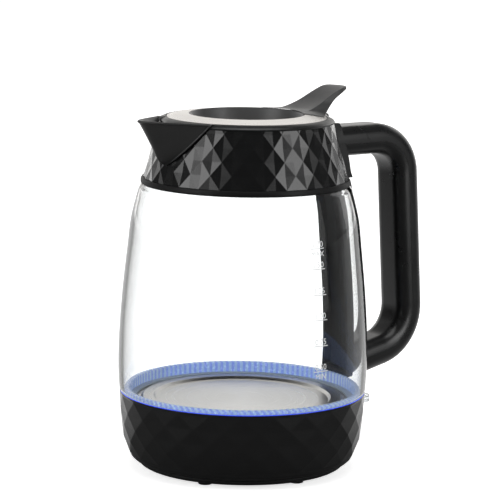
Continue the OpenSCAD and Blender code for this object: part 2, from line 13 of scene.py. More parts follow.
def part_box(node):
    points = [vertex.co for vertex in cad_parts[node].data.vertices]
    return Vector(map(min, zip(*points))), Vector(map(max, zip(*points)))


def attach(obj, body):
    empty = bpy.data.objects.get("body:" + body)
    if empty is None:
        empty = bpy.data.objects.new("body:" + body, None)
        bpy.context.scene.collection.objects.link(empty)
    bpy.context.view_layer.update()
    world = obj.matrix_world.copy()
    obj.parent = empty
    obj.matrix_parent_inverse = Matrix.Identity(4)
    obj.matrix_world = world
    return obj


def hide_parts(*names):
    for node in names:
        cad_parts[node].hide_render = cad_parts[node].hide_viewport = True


MM = 0.001
# Radius of a turned profile's end on its axis
TINY = 0.01 * MM

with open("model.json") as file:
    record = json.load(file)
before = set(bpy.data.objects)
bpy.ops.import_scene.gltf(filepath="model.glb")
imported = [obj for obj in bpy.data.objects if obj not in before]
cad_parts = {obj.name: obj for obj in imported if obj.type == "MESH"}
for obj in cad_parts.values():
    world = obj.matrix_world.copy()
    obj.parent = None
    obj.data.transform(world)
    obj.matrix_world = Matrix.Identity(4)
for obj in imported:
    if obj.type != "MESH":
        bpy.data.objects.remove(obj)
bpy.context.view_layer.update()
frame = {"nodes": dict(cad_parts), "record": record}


# ---- camera, floor and light ----

CAMERA_AZIMUTH = math.radians(-37.5)
CAMERA_ELEVATION = math.radians(9.312)
CAMERA_ROLL = math.radians(0.969)
CAMERA_DISTANCE = 1.581
CAMERA_RIGHT = 3.36 * MM
AIM_HEIGHT = 133.4 * MM
LENS = 187.2

# How bright the world is where it lights and mirrors, and where it is seen
WORLD_LIGHT = 0.09
WORLD_SEEN = 1.0
# How far a mirrored ray through the glass points to the far side where the world turns white
WORLD_BACK = (0.35, 0.8)
FLOOR_RADIUS = 9.0
FLOOR_SIDES = 24
# The floor just under the feet, so that the two never share a plane
FLOOR_DROP = 0.05 * MM
# The floor's own glow grows to full white between these distances from the jug's axis, so the dimmer
# glow near the jug is painted shadow
GLOW_NEAR = 0.72
SHADOW_FROM = 0.09
SHADOW_TO = 0.5
# How bright the far floor is in mirrored light, and where it begins
FLOOR_BACK = 0.9
FLOOR_BACK_FROM = 0.05
# Name, azimuth round from the camera's side, elevation, distance, width, height, power, colour
SOFT_BOXES = (("left_box", -60, 18, 1.2, 0.5, 0.9, 4.6, (1, 1, 1)),
              ("right_box", 58, 16, 1.2, 0.45, 0.9, 4.0, (1, 1, 1)),
              ("left_fill", -55, 10, 1.6, 1.4, 1.4, 4.4, (1, 1, 1)),
              ("right_fill", 62, 10, 1.6, 1.4, 1.4, 4.0, (1, 1, 1)),
              ("top_box", 10, 78, 1.3, 1.0, 1.0, 7, (1, 1, 1)),
              ("back_card", 180, 14, 3.0, 4.2, 2.0, 30, (1.0, 0.985, 0.96)),
              ("left_card", -138, 12, 2.5, 1.6, 2.0, 8, (1, 1, 1)),
              ("right_card", 138, 12, 2.5, 1.6, 2.0, 8, (1, 1, 1)))
SOFT_BOX_AIM = 0.12


def direction(azimuth, elevation):
    """Unit vector from the object towards a point seen at this azimuth; 0 is -Y and 90 is +X."""
    return Vector((math.sin(azimuth) * math.cos(elevation),
                   -math.cos(azimuth) * math.cos(elevation), math.sin(elevation)))


def make_camera():
    """The camera at the photo's place, turned a little about its own axis."""
    back = direction(CAMERA_AZIMUTH, CAMERA_ELEVATION)
    right = Vector((math.cos(CAMERA_AZIMUTH), math.sin(CAMERA_AZIMUTH), 0))
    data = bpy.data.cameras.new("camera")
    data.sensor_width = 36
    data.lens = LENS
    data.clip_start = 0.05
    data.clip_end = 60
    camera = bpy.data.objects.new("camera", data)
    bpy.context.scene.collection.objects.link(camera)
    camera.rotation_mode = "QUATERNION"
    turn = (-back).to_track_quat("-Z", "Y")
    camera.rotation_quaternion = turn @ Matrix.Rotation(CAMERA_ROLL, 3, "Z").to_quaternion()
    camera.location = Vector((0, 0, AIM_HEIGHT)) + right * CAMERA_RIGHT + back * CAMERA_DISTANCE
    bpy.context.scene.camera = camera


def soft_box(name, azimuth, elevation, distance, width, height, power, colour):
    """An area light that looks at the jug and shows only in what it lights and mirrors."""
    data = bpy.data.lights.new(name, "AREA")
    data.shape = "RECTANGLE"
    data.size = width
    data.size_y = height
    data.energy = power
    data.color = colour
    light = bpy.data.objects.new(name, data)
    bpy.context.scene.collection.objects.link(light)
    away = direction(CAMERA_AZIMUTH + math.radians(azimuth), math.radians(elevation))
    light.location = Vector((0, 0, SOFT_BOX_AIM)) + away * distance
    light.rotation_mode = "QUATERNION"
    light.rotation_quaternion = (-away).to_track_quat("-Z", "Y")
    light.visible_camera = False
    light.visible_transmission = False


def feed(tree, kind, *values, operation=None, output=0):
    """A shader node fed by the values in order; returns its first output, or the one asked for."""
    node = tree.nodes.new(kind)
    if operation:
        node.operation = operation
    for i, value in enumerate(values):
        if isinstance(value, bpy.types.NodeSocket):
            tree.links.new(value, node.inputs[i])
        else:
            node.inputs[i].default_value = value
    return node.outputs[output]


def seen_straight(tree):
    """1 for what is seen straight or only through glass, 0 for what lights and mirrors."""
    path = tree.nodes.new("ShaderNodeLightPath")
    either = feed(tree, "ShaderNodeMath", path.outputs["Is Camera Ray"],
                  path.outputs["Is Transmission Ray"], operation="MAXIMUM")
    plain = feed(tree, "ShaderNodeMath", path.outputs["Glossy Depth"], 0.5, operation="LESS_THAN")
    return feed(tree, "ShaderNodeMath", either, plain, operation="MULTIPLY")


def towards_back(tree, place, start, full):
    """0 to 1 for a direction that turns from the camera's side to the far side."""
    level = feed(tree, "ShaderNodeVectorMath", place, (1, 1, 0), operation="MULTIPLY")
    ahead = feed(tree, "ShaderNodeVectorMath", level, operation="NORMALIZE")
    behind = tuple(direction(CAMERA_AZIMUTH + math.pi, 0))
    share = feed(tree, "ShaderNodeVectorMath", ahead, behind, operation="DOT_PRODUCT", output=1)
    return feed(tree, "ShaderNodeMapRange", share, start, full, 0.0, 1.0)


def make_world():
    """White where it is seen straight or through glass, and dim where it lights and mirrors."""
    world = bpy.data.worlds.new("studio")
    world.use_nodes = True
    bpy.context.scene.world = world
    tree = world.node_tree
    path = tree.nodes.new("ShaderNodeLightPath")
    place = tree.nodes.new("ShaderNodeTexCoord").outputs["Generated"]
    back = towards_back(tree, place, *WORLD_BACK)
    through = feed(tree, "ShaderNodeMath", path.outputs["Is Transmission Ray"], back,
                   operation="MULTIPLY")
    white = feed(tree, "ShaderNodeMath", seen_straight(tree), through, operation="MAXIMUM")
    level = feed(tree, "ShaderNodeMapRange", white, 0.0, 1.0, WORLD_LIGHT, WORLD_SEEN)
    background = tree.nodes["Background"]
    background.inputs["Color"].default_value = (1, 1, 1, 1)
    tree.links.new(level, background.inputs["Strength"])


class Look:
    """A node material: short calls that add nodes round one Principled shader."""

    def __init__(self, name, values=None):
        self.material = bpy.data.materials.new(name)
        self.material.use_nodes = True
        self.tree = self.material.node_tree
        self.shader = self.tree.nodes["Principled BSDF"]
        for socket, value in (values or {}).items():
            self.shader.inputs[socket].default_value = value
        self.place = self.add("ShaderNodeTexCoord", output="Object")

    def add(self, kind, inputs=None, output=0, **settings):
        node = self.tree.nodes.new(kind)
        for key, value in settings.items():
            setattr(node, key, value)
        for socket, value in (inputs or {}).items():
            if isinstance(value, bpy.types.NodeSocket):
                self.tree.links.new(value, node.inputs[socket])
            else:
                node.inputs[socket].default_value = value
        return node.outputs[output]

    def set(self, socket, value):
        self.tree.links.new(value, self.shader.inputs[socket])

    def noise(self, scale, detail=3.0, roughness=0.5, at=None):
        return self.add("ShaderNodeTexNoise", {"Vector": at or self.place, "Scale": scale,
                                               "Detail": detail, "Roughness": roughness})

    def spread(self, value, low, high, start=0.35, end=0.65):
        """Noise values between start and end, spread from low to high."""
        return self.add("ShaderNodeMapRange", {"Value": value, "From Min": start, "From Max": end,
                                               "To Min": low, "To Max": high})

    def ramp(self, value, *stops):
        output = self.add("ShaderNodeValToRGB", {"Fac": value})
        elements = output.node.color_ramp.elements
        while len(elements) < len(stops):
            elements.new(0.5)
        for element, (place, colour) in zip(elements, stops):
            element.position = place
            element.color = (*colour, 1)
        return output

    def math(self, operation, a, b=0.0):
        return self.add("ShaderNodeMath", {0: a, 1: b}, operation=operation)

    def bump(self, height, depth, normal=None):
        """Bump whose full height is depth, in metres."""
        inputs = {"Height": height, "Strength": 1.0, "Distance": depth}
        if normal is not None:
            inputs["Normal"] = normal
        return self.add("ShaderNodeBump", inputs)

    def rounded_edges(self, radius):
        return self.add("ShaderNodeBevel", {"Radius": radius}, samples=4)

    def turned_place(self, across, around):
        """Texture space of lathe marks: fast across the radius, slow around the axis."""
        x = self.add("ShaderNodeSeparateXYZ", {0: self.place})
        y = x.node.outputs[1]
        squares = self.math("ADD", self.math("MULTIPLY", x, x), self.math("MULTIPLY", y, y))
        radius = self.math("SQRT", squares)
        slow = [self.math("MULTIPLY", axis, around) for axis in (x, y)]
        height = self.math("MULTIPLY", self.math("ADD", radius, x.node.outputs[2]), across)
        return self.add("ShaderNodeCombineXYZ", {0: slow[0], 1: slow[1], 2: height})


def grey(level, tint=0.0):
    """A neutral colour, a little bluer for a positive tint and warmer for a negative one."""
    return (level * (1 - tint), level, level * (1 + tint))


def moulded(name, level, roughness, grain_depth, edge=0.2 * MM, tint=0.03, ior=1.5):
    """Moulded plastic: fine spark-eroded grain, slow sheen changes, and softened edges."""
    look = Look(name, {"IOR": ior})
    cloud = look.noise(38, 3)
    fine = look.noise(2600, 2, 0.6)
    colour = look.ramp(cloud, (0.3, grey(level, tint)), (0.7, grey(level * 1.25, tint)))
    look.set("Base Color", colour)
    wear = look.noise(210, 4, 0.7)
    rough = look.math("ADD", look.spread(cloud, roughness * 0.9, roughness * 1.1),
                      look.spread(wear, -0.02, 0.03))
    look.set("Roughness", rough)
    look.set("Normal", look.bump(fine, grain_depth, look.rounded_edges(edge)))
    return look.material


def glossy_moulded(name, level, roughness):
    """Polished plastic: hardly any grain, hairline scratches and faint moulding ripple."""
    look = Look(name, {"IOR": 1.52})
    cloud = look.noise(24, 2)
    look.set("Base Color", look.ramp(cloud, (0.3, grey(level, 0.04)), (0.7, grey(level * 1.3, 0.04))))
    stretched = look.add("ShaderNodeMapping", {"Vector": look.place, "Scale": (90, 900, 260)})
    scratches = look.noise(9, 4, 0.75, stretched)
    look.set("Roughness", look.spread(scratches, roughness * 0.85, roughness * 1.35))
    ripple = look.noise(170, 2)
    look.set("Normal", look.bump(ripple, 0.006 * MM, look.rounded_edges(0.22 * MM)))
    return look.material


def brushed(name, colour, roughness, depth=0.004 * MM, anisotropy=0.4):
    """Turned and brushed metal, its lines round the Z axis."""
    look = Look(name, {"Metallic": 1.0, "Anisotropic": anisotropy})
    lines = look.noise(1, 4, 0.7, look.turned_place(2600, 12))
    broad = look.noise(1, 2, 0.5, look.turned_place(320, 5))
    both = look.math("ADD", look.math("MULTIPLY", lines, 0.7), look.math("MULTIPLY", broad, 0.3))
    dark = tuple(c * 0.86 for c in colour)
    look.set("Base Color", look.ramp(both, (0.3, dark), (0.7, colour)))
    look.set("Roughness", look.spread(both, roughness * 0.8, roughness * 1.3))
    look.set("Normal", look.bump(lines, depth, look.rounded_edges(0.12 * MM)))
    look.set("Tangent", look.add("ShaderNodeTangent", direction_type="RADIAL", axis="Z"))
    return look.material


def plated(name, colour, roughness):
    """Drawn or plated metal of small parts: fine pitting and slight tarnish."""
    look = Look(name, {"Metallic": 1.0})
    tarnish = look.noise(420, 4, 0.65)
    dark = tuple(c * 0.72 for c in colour)
    look.set("Base Color", look.ramp(tarnish, (0.3, dark), (0.62, colour)))
    look.set("Roughness", look.spread(tarnish, roughness * 1.3, roughness * 0.8))
    look.set("Normal", look.bump(look.noise(3200, 2), 0.004 * MM, look.rounded_edges(0.08 * MM)))
    return look.material


def soft_rubber(name, level, roughness, tint=0.0):
    """Moulded rubber or silicone: dusty, with a coarse matt grain."""
    look = Look(name, {"IOR": 1.45, "Sheen Weight": 0.15, "Sheen Roughness": 0.5})
    dust = look.noise(160, 5, 0.7)
    look.set("Base Color", look.ramp(dust, (0.3, grey(level, tint)), (0.75, grey(level * 1.18, tint))))
    look.set("Roughness", look.spread(dust, roughness, roughness * 1.15))
    look.set("Normal", look.bump(look.noise(1900, 3, 0.6), 0.02 * MM, look.rounded_edges(0.2 * MM)))
    return look.material


def jug_glass():
    """Blown borosilicate glass: faint optical waviness and a trace of wiped film."""
    look = Look("jug_glass", {"Transmission Weight": 1.0, "IOR": 1.47,
                              "Base Color": (0.985, 0.995, 0.995, 1)})
    wave = look.noise(16, 2)
    film = look.noise(70, 5, 0.7)
    look.set("Roughness", look.spread(film, 0.0, 0.035, 0.5, 0.8))
    look.set("Normal", look.bump(wave, 0.03 * MM))
    return look.material


def clear_moulding():
    """Clear moulded plastic of the switch paddle, with flow lines from the gate."""
    look = Look("clear_moulding", {"Transmission Weight": 0.9, "IOR": 1.49})
    flow = look.noise(1, 3, 0.6, look.turned_place(500, 90))
    look.set("Base Color", look.ramp(flow, (0.3, (0.86, 0.9, 0.92)), (0.7, (0.96, 0.98, 0.99))))
    look.set("Roughness", look.spread(flow, 0.04, 0.14))
    look.set("Normal", look.bump(flow, 0.02 * MM, look.rounded_edges(0.3 * MM)))
    return look.material


def lit_ring(name="lit_ring", depth=1.0):
    """Frosted light guide: pale blue, and a darker, deeper blue where depth is below 1, which is
    painted shade in its grooves.
    """
    look = Look(name, {"Transmission Weight": 0.25, "IOR": 1.49,
                       "Emission Color": (0.4 * depth, 0.62 * depth, 1.0, 1), "Emission Strength": 0.2})
    frost = look.noise(520, 4, 0.7)
    look.set("Base Color", look.ramp(frost, (0.3, (0.55 * depth, 0.74 * depth, 0.98)),
                                     (0.7, (0.7 * depth, 0.84 * depth, 1.0))))
    look.set("Roughness", look.spread(frost, 0.12, 0.32))
    look.set("Normal", look.bump(frost, 0.01 * MM))
    return look.material


def blue_edge():
    """The light guide's lower edge, where the deep blue light leaves it."""
    look = Look("blue_edge", {"Emission Color": (0.02, 0.06, 0.9, 1), "Emission Strength": 0.9})
    cloud = look.noise(300, 3)
    look.set("Base Color", look.ramp(cloud, (0.3, (0.02, 0.05, 0.45)), (0.7, (0.05, 0.1, 0.7))))
    look.set("Roughness", look.spread(cloud, 0.2, 0.35))
    return look.material


def lens():
    """Clear lens of a blue light, whitish in the middle."""
    look = Look("lens", {"Emission Color": (0.3, 0.5, 1.0, 1), "Emission Strength": 2.5})
    cloud = look.noise(900, 2)
    look.set("Base Color", look.ramp(cloud, (0.3, (0.4, 0.6, 1.0)), (0.7, (0.75, 0.85, 1.0))))
    look.set("Roughness", look.spread(cloud, 0.1, 0.25))
    return look.material


def solder_mask():
    """Green circuit board with pale traces that run round it."""
    look = Look("solder_mask", {"Coat Weight": 0.4, "Coat Roughness": 0.15})
    traces = look.noise(1, 1, 0.4, look.turned_place(1400, 30))
    look.set("Base Color", look.ramp(traces, (0.46, (0.01, 0.09, 0.035)), (0.54, (0.03, 0.2, 0.08))))
    look.set("Roughness", look.spread(traces, 0.3, 0.45))
    look.set("Normal", look.bump(traces, 0.02 * MM))
    return look.material


def print_white_painted_glow():
    """Screen-printed white ink, slightly uneven, given a faint glow that is painted light."""
    # The faint white emission is painted light; the ink is no lamp.
    look = Look("print_white_painted_glow", {"Emission Color": (1, 1, 1, 1), "Emission Strength": 0.12})
    ink = look.noise(1500, 3, 0.7)
    look.set("Base Color", look.ramp(ink, (0.25, (0.8, 0.82, 0.84)), (0.6, (0.97, 0.98, 0.98))))
    look.set("Roughness", look.spread(ink, 0.35, 0.6))
    return look.material


def sheath():
    """Oxide skin of the heating element: grey-brown with heat tints."""
    look = Look("sheath", {"Metallic": 0.6})
    scale = look.noise(260, 5, 0.7)
    look.set("Base Color", look.ramp(scale, (0.3, (0.16, 0.14, 0.13)), (0.5, (0.3, 0.28, 0.27)),
                                     (0.75, (0.34, 0.3, 0.36))))
    look.set("Roughness", look.spread(scale, 0.4, 0.65))
    look.set("Normal", look.bump(scale, 0.03 * MM))
    return look.material


LOOKS = {
    "gloss_black": glossy_moulded("gloss_black", 0.005, 0.17),
    "satin_black": moulded("satin_black", 0.010, 0.36, 0.002 * MM),
    "charcoal": moulded("charcoal", 0.05, 0.38, 0.004 * MM, edge=0.3 * MM, tint=0.0),
    "dark_plastic": moulded("dark_plastic", 0.04, 0.42, 0.006 * MM),
    "steel": brushed("steel", (0.80, 0.775, 0.745), 0.30),
    "aluminium": brushed("aluminium", (0.78, 0.79, 0.8), 0.38),
    "element_sheath": sheath(),
    "brass": plated("brass", (0.78, 0.55, 0.24), 0.22),
    "rubber": soft_rubber("rubber", 0.018, 0.72),
    # The silicone's pale blue tint is painted light: the light ring's blue glow shining through it.
    "silicone": soft_rubber("silicone", 0.62, 0.5, 0.14),
    "clear_glass": jug_glass(),
    "clear_plastic": clear_moulding(),
    "light_guide": lit_ring(),
    "led_lens": lens(),
    "circuit_board": solder_mask(),
    "white_print": print_white_painted_glow(),
}
EXTRA_LOOKS = {
    "base_satin": moulded("base_satin", 0.006, 0.2, 0.001 * MM, edge=0.3 * MM, ior=1.55),
    "handle_satin": moulded("handle_satin", 0.008, 0.30, 0.0025 * MM, edge=0.25 * MM),
    "spout_satin": moulded("spout_satin", 0.03, 0.40, 0.003 * MM, edge=0.3 * MM, tint=0.0),
    "lip_satin": moulded("lip_satin", 0.006, 0.5, 0.003 * MM, edge=0.25 * MM, ior=1.28),
    "funnel_satin": moulded("funnel_satin", 0.065, 0.42, 0.004 * MM, edge=0.25 * MM, tint=0.0),
    "spine_grey": moulded("spine_grey", 0.02, 0.6, 0.004 * MM, tint=0.02, ior=1.2),
    # The ribs' grooves take a darker blue: painted shade.
    "groove_painted_shade": lit_ring("groove_painted_shade", 0.66),
    "plated_steel": plated("plated_steel", (0.7, 0.69, 0.67), 0.25),
    "blue_edge": blue_edge(),
}
NODE_LOOKS = {
    "base_shell": "base_satin",
    "handle_outer_shell": "handle_satin",
    "handle_inner_shell": "handle_satin",
    "handle_bracket": "handle_satin",
    "spout": "spout_satin",
    "collar_lip": "lip_satin",
    "lid_body": "funnel_satin",
    "spine": "spine_grey",
    "steam_duct": "spine_grey",
    "filter_mesh": "plated_steel",
    "switch_pin": "plated_steel",
    "lid_hinge_pin": "plated_steel",
    "flap_pin": "plated_steel",
}


# ---- the CAD nodes' finish ----

SMOOTH_ANGLE = math.radians(32)
FACETED = {"base_shell": 3, "collar": 3}


def finish_node(name, node, slot):
    """Gives a CAD node its material, and smooth shading between its sharp edges."""
    look = EXTRA_LOOKS.get(NODE_LOOKS.get(name)) or LOOKS[slot]
    node.data.materials.clear()
    node.data.materials.append(look)
    for polygon in node.data.polygons:
        polygon.material_index = 0
    node.data.shade_smooth()
    if "custom_normal" in node.data.attributes:
        node.data.attributes.remove(node.data.attributes["custom_normal"])
    weld = node.modifiers.new("weld", "WELD")
    weld.merge_threshold = 0.002 * MM
    split = node.modifiers.new("split", "EDGE_SPLIT")
    split.split_angle = math.radians(FACETED[name]) if name in FACETED else SMOOTH_ANGLE
    if name not in FACETED:
        even = node.modifiers.new("even", "WEIGHTED_NORMAL")
        even.keep_sharp = True


def link(name, points, faces, look, body, stands_for=(), smooth=True):
    """A new piece of the object, from its points and faces."""
    mesh = bpy.data.meshes.new(name)
    mesh.from_pydata(points, [], faces)
    mesh.validate()
    mesh.materials.append(look)
    if smooth:
        mesh.shade_smooth()
    made = bpy.data.objects.new(name, mesh)
    bpy.context.scene.collection.objects.link(made)
    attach(made, body)
    if stands_for:
        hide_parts(*stands_for)
    return made


def modify(made, kind, **settings):
    """Adds a modifier with these settings."""
    modifier = made.modifiers.new(kind.lower(), kind)
    for key, value in settings.items():
        setattr(modifier, key, value)


def skin(rows, columns, closed_rows=False, closed_columns=True):
    """Quads of a grid of points that is numbered row by row."""
    return [(r * columns + c, r * columns + (c + 1) % columns,
             (r + 1) % rows * columns + (c + 1) % columns, (r + 1) % rows * columns + c)
            for r in range(rows if closed_rows else rows - 1)
            for c in range(columns if closed_columns else columns - 1)]


def closed_skin(rows, columns, start=0, skin_turned=False, caps_turned=False):
    """Faces of a tube of rings with both ends closed; start is the number of its first point."""
    last = (rows - 1) * columns
    sides = skin(rows, columns)
    caps = [tuple(range(columns))[::-1], tuple(last + k for k in range(columns))]
    faces = [face[::-1] for face in sides] if skin_turned else sides
    faces += [cap[::-1] for cap in caps] if caps_turned else caps
    return [tuple(start + v for v in face) for face in faces]


def swept(path, radius, sides, across):
    """Points and faces of a round bar along a path that nowhere runs along across."""
    points = []
    for i, p in enumerate(path):
        along = (path[min(i + 1, len(path) - 1)] - path[max(i - 1, 0)]).normalized()
        side = along.cross(across).normalized()
        up = side.cross(along)
        for k in range(sides):
            turn = 2 * math.pi * k / sides
            points.append(p + radius * (math.cos(turn) * side + math.sin(turn) * up))
    return points, closed_skin(len(path), sides)


def polar(radius, angle, height):
    return (radius * math.cos(angle), radius * math.sin(angle), height)


# ---- glass ----

# [height, outer radius] of the glass's side and of its neck, in millimetres
GLASS_SIDE = [(47.6, 75.3), (64, 76.1), (86, 75.6), (110, 73.9), (135, 71.3), (152, 69.4),
              (164, 66.7), (172, 64.5)]
GLASS_NECK = [(174.2, 63.0), (176, 60.9), (178, 59.0), (182.5, 57.7)]
GLASS_WALL = 2.6
GLASS_STEPS = 8
GLASS_TURNS = 240


def curve_at(points, t):
    """The point at share t, from 0 to 1, of a smooth curve through the points."""
    place = t * (len(points) - 1)
    i = min(int(place), len(points) - 2)
    a, b, c, d = (Vector(points[min(max(i + k, 0), len(points) - 1)]) for k in (-1, 0, 1, 2))
    u = place - i
    return 0.5 * (2 * b + (c - a) * u + (2 * a - 5 * b + 4 * c - d) * u * u
                  + (3 * b - a - 3 * c + d) * u ** 3)


def glass_piece():
    """The jug's glass as one finely turned wall with fire-polished ends."""
    steps = GLASS_STEPS * (len(GLASS_SIDE) - 1)
    outer = [tuple(curve_at([(*p, 0) for p in GLASS_SIDE], i / steps))[:2] for i in range(steps + 1)]
    outer += GLASS_NECK
    (low_z, low_r), (high_z, high_r) = outer[0], outer[-1]
    outer[0] = (low_z + 0.6, low_r)
    outer[-1] = (high_z - 0.5, high_r)
    # Each end is rounded over three points between the outer and the inner face
    ends = ((0.12, 0.35), (0, GLASS_WALL / 2), (0.12, GLASS_WALL - 0.35))
    top = [(high_z - drop, high_r - inward) for drop, inward in ends]
    foot = [(low_z + drop, low_r - inward) for drop, inward in ends[::-1]]
    profile = outer + top + [(z, r - GLASS_WALL) for z, r in outer[::-1]] + foot
    points = [polar(r * MM, 2 * math.pi * k / GLASS_TURNS, z * MM)
              for z, r in profile for k in range(GLASS_TURNS)]
    faces = skin(len(profile), GLASS_TURNS, closed_rows=True)
    link("jug_glass_wall", points, faces, LOOKS["clear_glass"], "jug", ["glass_body"])


# ---- light ring ----

RING_RIBS = 120
RING_STEPS = 8
RING_IN = 69.2 * MM
RING_WALL = 72.4 * MM
RING_SKIRT = 71.2 * MM
# Depths under the ring's top where its flange begins and ends
FLANGE_LOW = 2.95 * MM
FLANGE_TOP = 2.5 * MM
RIB_DEPTH = 0.6 * MM
RIB_TWIST = 2.4


def light_ring_piece():
    """The light guide: a plain skirt in the base, and a collar with slanting ribs in the glass."""
    low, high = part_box("light_ring")
    foot, top = low.z, high.z
    plain = [(RING_IN, foot), (RING_SKIRT, foot), (RING_SKIRT, top - FLANGE_LOW),
             (high.x, top - FLANGE_LOW), (high.x, top - FLANGE_TOP)]
    ribbed = [(RING_WALL, top - FLANGE_TOP + 0.1 * MM), (RING_WALL, top - FLANGE_TOP + 0.8 * MM),
              (RING_WALL, top - 1.0 * MM), (RING_WALL - 0.3 * MM, top - 0.35 * MM),
              (RING_WALL - 1.0 * MM, top - 0.05 * MM), (RING_IN + 1.0 * MM, top),
              (RING_IN + 0.3 * MM, top - 0.3 * MM), (RING_IN, top - 1.0 * MM)]
    profile = plain + ribbed
    count = len(profile)
    # The ribs cut into the wall up to here, and into the top from here on
    wall_end = len(plain) + 5
    turns = RING_RIBS * RING_STEPS
    points = []
    for i in range(turns):
        angle = 2 * math.pi * i / turns
        for k, (radius, height) in enumerate(profile):
            along = max(k - len(plain), 0) / len(ribbed)
            wave = 0.5 + 0.5 * math.sin(RING_RIBS * angle + RIB_TWIST * math.pi * along)
            rib = RIB_DEPTH * wave * math.sin(math.pi * along)
            if k < wall_end:
                points.append(polar(radius - rib, angle, height))
            else:
                points.append(polar(radius, angle, height - rib))
    made = link("light_ring_ribbed", points, skin(turns, count, closed_rows=True),
                LOOKS["light_guide"], "jug", ["light_ring"])
    made.data.materials.append(EXTRA_LOOKS["blue_edge"])
    made.data.materials.append(EXTRA_LOOKS["groove_painted_shade"])
    for polygon in made.data.polygons:
        places = {v % count for v in polygon.vertices}
        along = (max(places) - len(plain)) / len(ribbed)
        turn = (min(v // count for v in polygon.vertices) + 0.5) / RING_STEPS + RIB_TWIST * along / 2
        if places == {3, 4}:
            polygon.material_index = 1
        # Half of each rib, where its groove cuts deepest, takes the darker blue of painted shade.
        elif along > 0 and turn % 1 < 0.5:
            polygon.material_index = 2
    modify(made, "EDGE_SPLIT", split_angle=math.radians(40))


# ---- thumb lever ----

# The lines of the lever from its root on the ring to its tip, in millimetres: the middle
# and the edge of its top face, and of its back
LEVER_TOP = ([(34, 0, 217.3), (37.5, 0, 217.5), (42, 0, 218.9), (50.5, 0, 222.4),
              (59.5, 0, 227), (68, 0, 230.3), (73.8, 0, 230.5)],
             [(26, 21.9, 217.3), (34, 14.2, 217.4), (40, 12.8, 218.4), (49, 11.4, 221.9),
              (58, 10.4, 226.5), (66, 10, 229.9), (70.6, 8.2, 230.5)])
LEVER_BACK = ([(46.9, 0, 215.6), (49.4, 0, 216.4), (52.8, 0, 218), (57.5, 0, 221),
               (62, 0, 224.2), (68, 0, 227.4), (73.8, 0, 229)],
              [(35.9, 30.1, 215.6), (40.2, 26, 215.8), (47.8, 18, 216.9), (55.3, 12.4, 220.1),
               (60, 11, 223.7), (66.1, 10, 226.9), (70.8, 8.2, 229)])
LEVER_ALONG = [0, 0.02] + [i / 18 for i in range(1, 18)] + [0.98, 1]
LEVER_THROUGH = [0, 0.12, 0.5, 0.88, 1]
LEVER_ACROSS = [-1, -0.95, -0.8, -0.6, -0.4, -0.2, 0, 0.2, 0.4, 0.6, 0.8, 0.95, 1]


def lever_point(along, through, across):
    """A point of the lever: along it, through it from top to back, and across it from -1 to 1."""
    share = across * across
    faces = []
    for middle, edge in (LEVER_TOP, LEVER_BACK):
        a, b = curve_at(middle, along), curve_at(edge, along)
        faces.append(Vector((a.x + (b.x - a.x) * share, b.y * across, a.z + (b.z - a.z) * share)))
    return faces[0].lerp(faces[1], through) * MM


def block_skin(point, along, through, across):
    """Points and quads of the outside of a bent block; point(a, b, c) places its lattice."""
    counts = [len(along), len(through), len(across)]
    index, points, faces = {}, [], []

    def at(key):
        if key not in index:
            index[key] = len(points)
            points.append(point(along[key[0]], through[key[1]], across[key[2]]))
        return index[key]

    for fixed in range(3):
        i, j = [k for k in range(3) if k != fixed]
        for end in (0, counts[fixed] - 1):
            for a in range(counts[i] - 1):
                for b in range(counts[j] - 1):
                    quad = []
                    for da, db in ((0, 0), (1, 0), (1, 1), (0, 1)):
                        key = [0, 0, 0]
                        key[fixed], key[i], key[j] = end, a + da, b + db
                        quad.append(at(tuple(key)))
                    outward = (end > 0) != (fixed == 1)
                    faces.append(tuple(quad if outward else quad[::-1]))
    return points, faces


def lever_piece():
    """The thumb lever as one smooth subdivided skin with softly rounded edges."""
    points, faces = block_skin(lever_point, LEVER_ALONG, LEVER_THROUGH, LEVER_ACROSS)
    made = link("thumb_lever", points, faces, LOOKS["charcoal"], "lid", ["lid_lever"])
    modify(made, "SUBSURF", levels=2, render_levels=2)


# ---- beads of the spout ----

SPOUT_ROOT_R = 53.6 * MM
SPOUT_APEX_R = 59.2 * MM
SPOUT_ROOT_Z = 215.2 * MM
SPOUT_HALF_ANGLE = math.radians(30)
SPOUT_SOFT = 0.3
LIP_R = 0.85 * MM
# How far the lip's bead lies inwards of and below the spout's edge, in shares of its radius
LIP_INWARD = 0.9
LIP_DOWN = 0.75
LIP_STEPS = 32
FLANGE_R = 0.5 * MM
FLANGE_LIFT = 0.15 * MM
FLANGE_STEPS = 24
BEAD_SIDES = 10


def spout_lip_point(across):
    """The spout's upper edge, from one end (-1) over the tip to the other (1)."""
    low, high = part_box("spout")
    bow = (math.hypot(across, SPOUT_SOFT) - SPOUT_SOFT) / (math.hypot(1, SPOUT_SOFT) - SPOUT_SOFT)
    root = SPOUT_ROOT_R * math.cos(SPOUT_HALF_ANGLE)
    x = -low.x + (root + low.x) * bow
    y = SPOUT_ROOT_R * math.sin(SPOUT_HALF_ANGLE) * across
    return Vector((-x, y, high.z + (SPOUT_ROOT_Z - high.z) * bow))


def spout_flange_point(rise, side):
    """The edge of the spout's V on the collar; rise is 0 at the apex and 1 at the rim."""
    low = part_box("spout")[0]
    angle = math.pi - side * SPOUT_HALF_ANGLE * rise ** 0.8
    radius = SPOUT_APEX_R + (SPOUT_ROOT_R - SPOUT_APEX_R) * rise
    return Vector(polar(radius + FLANGE_LIFT, angle, low.z + (SPOUT_ROOT_Z - low.z) * rise))


